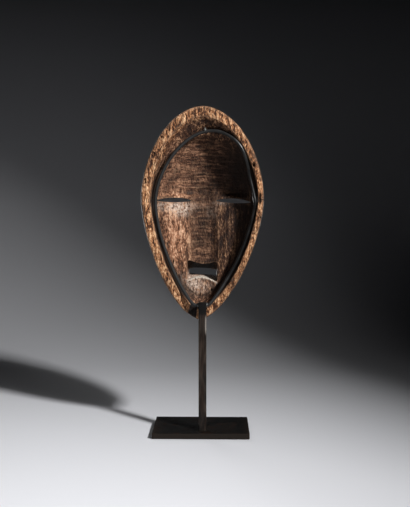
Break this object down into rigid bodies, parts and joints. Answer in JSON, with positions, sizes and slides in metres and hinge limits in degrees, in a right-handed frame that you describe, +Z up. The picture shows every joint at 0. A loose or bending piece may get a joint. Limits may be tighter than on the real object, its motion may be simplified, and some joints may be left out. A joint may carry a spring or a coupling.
{
  "type": "dan mask on stand",
  "caption": "Carved wooden face mask with slit eyes and an open mouth, its hollow back resting on a bent rod loop above a post and a flat metal foot.",
  "frame": {"origin": "centre of the base plate's underside, on the surface that it stands on", "axes": "+Z up, +X to the right of a viewer who looks into the hollow back, +Y away from that viewer, the way the carved face looks"},
  "size_m": [0.127, 0.0701, 0.3395],
  "materials": {
    "carved_wood": "old adze-cut wood, warm brown on the worn rim, darker inside, smoked near-black brown on the face",
    "rod_steel": "blackened steel rod with a soft gloss",
    "post_steel": "blackened steel bar with a brown bloom",
    "plate_steel": "blackened steel plate, worn brown along its edges"
  },
  "bodies": {
    "root": {"mask": "carved_wood", "mount_loop": "rod_steel", "post": "post_steel", "base_plate": "plate_steel"}
  },
  "joints": []
}
